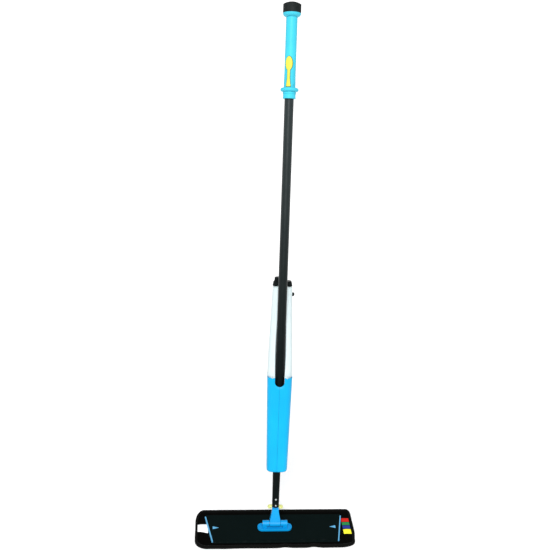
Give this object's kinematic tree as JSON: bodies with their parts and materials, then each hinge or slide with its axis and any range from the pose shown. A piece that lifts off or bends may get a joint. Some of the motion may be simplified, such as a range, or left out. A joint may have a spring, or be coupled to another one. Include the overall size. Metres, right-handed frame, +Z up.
{
  "type": "flat mop",
  "caption": "Spray flat mop: long leaning handle with trigger grip and tank in a tapered housing, on a two-way swivel head with a removable rectangular pad.",
  "frame": {"origin": "middle of the hand grip, on the pole's axis", "axes": "+Z up with the pad flat on the floor; +X along the pad's length; the handle leans back towards +Y, where the tank is; the trigger and the housing's front face -Y"},
  "size_m": [0.456, 0.5401, 1.4137],
  "materials": {
    "black_rubber": "matt moulded rubber",
    "blue_plastic": "satin moulded plastic",
    "head_blue_plastic": "satin moulded plastic",
    "yellow_plastic": "satin moulded plastic",
    "clear_yellow_plastic": "translucent moulded plastic",
    "black_pole": "satin black coating on aluminium",
    "black_plastic": "fine-grained moulded plastic",
    "frame_plastic": "dark grey moulded plastic",
    "frosted_tank": "translucent blow-moulded plastic",
    "steel": "bright zinc-plated steel",
    "hose": "flexible tube",
    "seal": "soft seal",
    "light_blue_trim": "light blue sighting trim",
    "hook_tape": "woven hook tape",
    "pad_pile": "looped microfibre pile",
    "pad_cloth": "brushed black cloth",
    "pad_edge": "sewn edge binding",
    "white_label": "plain white woven label",
    "red_tab": "dyed woven tape",
    "green_tab": "dyed woven tape",
    "blue_tab": "dyed woven tape",
    "yellow_tab": "dyed woven tape"
  },
  "bodies": {
    "handle": {"end_cap": "black_rubber", "grip": "blue_plastic", "trigger_pin": "steel", "trigger_spring": "steel", "pole": "black_pole", "housing_left": "blue_plastic", "housing_right": "blue_plastic", "housing_screws": "steel", "outlet_seal": "seal", "valve_block": "black_plastic", "valve_spring": "steel", "feed_hose": "hose", "nozzle": "clear_yellow_plastic", "lower_tube": "black_pole", "tube_fork": "black_plastic", "fork_rivet": "steel", "roll_pin": "steel"},
    "trigger": {"trigger": "yellow_plastic"},
    "valve_rod": {"push_rod": "steel", "valve_spool": "yellow_plastic"},
    "tank": {"tank": "frosted_tank", "tank_cap": "black_plastic", "vent_plug": "black_rubber"},
    "fill_cap": {"fill_cap": "black_plastic", "fill_cap_seal": "seal"},
    "yoke": {"yoke": "head_blue_plastic"},
    "head": {"pitch_pin": "steel", "hinge_base": "head_blue_plastic", "base_screws": "steel", "frame_plate": "frame_plastic", "end_strips": "light_blue_trim", "sight_marks": "light_blue_trim", "hook_strips": "hook_tape"},
    "pad": {"pad_backing": "pad_cloth", "pad_sole": "pad_pile", "pad_binding": "pad_edge", "pad_label": "white_label", "tab_red": "red_tab", "tab_green": "green_tab", "tab_blue": "blue_tab", "tab_yellow": "yellow_tab"}
  },
  "joints": [
    {"name": "head_roll", "type": "hinge", "parent": "handle", "child": "yoke", "pos_m": [0, -0.39369, -1.21165], "axis": [0, 0.9511, -0.309], "range_deg": [-70, 70]},
    {"name": "head_pitch", "type": "hinge", "parent": "yoke", "child": "head", "pos_m": [0, -0.41099, -1.2649], "axis": [1, 0, 0], "range_deg": [-98, 50]},
    {"name": "trigger_press", "type": "hinge", "parent": "handle", "child": "trigger", "pos_m": [-0.00291, -0.03726, -0.08883], "axis": [-0.9397, 0.3253, -0.1057], "range_deg": [0, 7.3], "deforming": ["trigger_spring"]},
    {"name": "valve_rod_slide", "type": "slide", "parent": "handle", "child": "valve_rod", "axis": [0, -0.309, -0.9511], "range_m": [0, 0.0015], "stiffness_N_per_m": 900, "springref_m": -0.004, "deforming": ["valve_spring"]},
    {"name": "tank_slide", "type": "slide", "parent": "handle", "child": "tank", "axis": [0, 0.309, 0.9511], "range_m": [0, 0.17]},
    {"name": "fill_cap_lift", "type": "slide", "parent": "tank", "child": "fill_cap", "axis": [0, 0.309, 0.9511], "range_m": [0, 0.04]},
    {"name": "pad_release", "type": "slide", "parent": "head", "child": "pad", "axis": [0, 0, -1], "range_m": [0, 0.05]}
  ],
  "couplings": [
    {"joint": "trigger_press", "follows": "valve_rod_slide", "rad_per_m": 81.4}
  ]
}
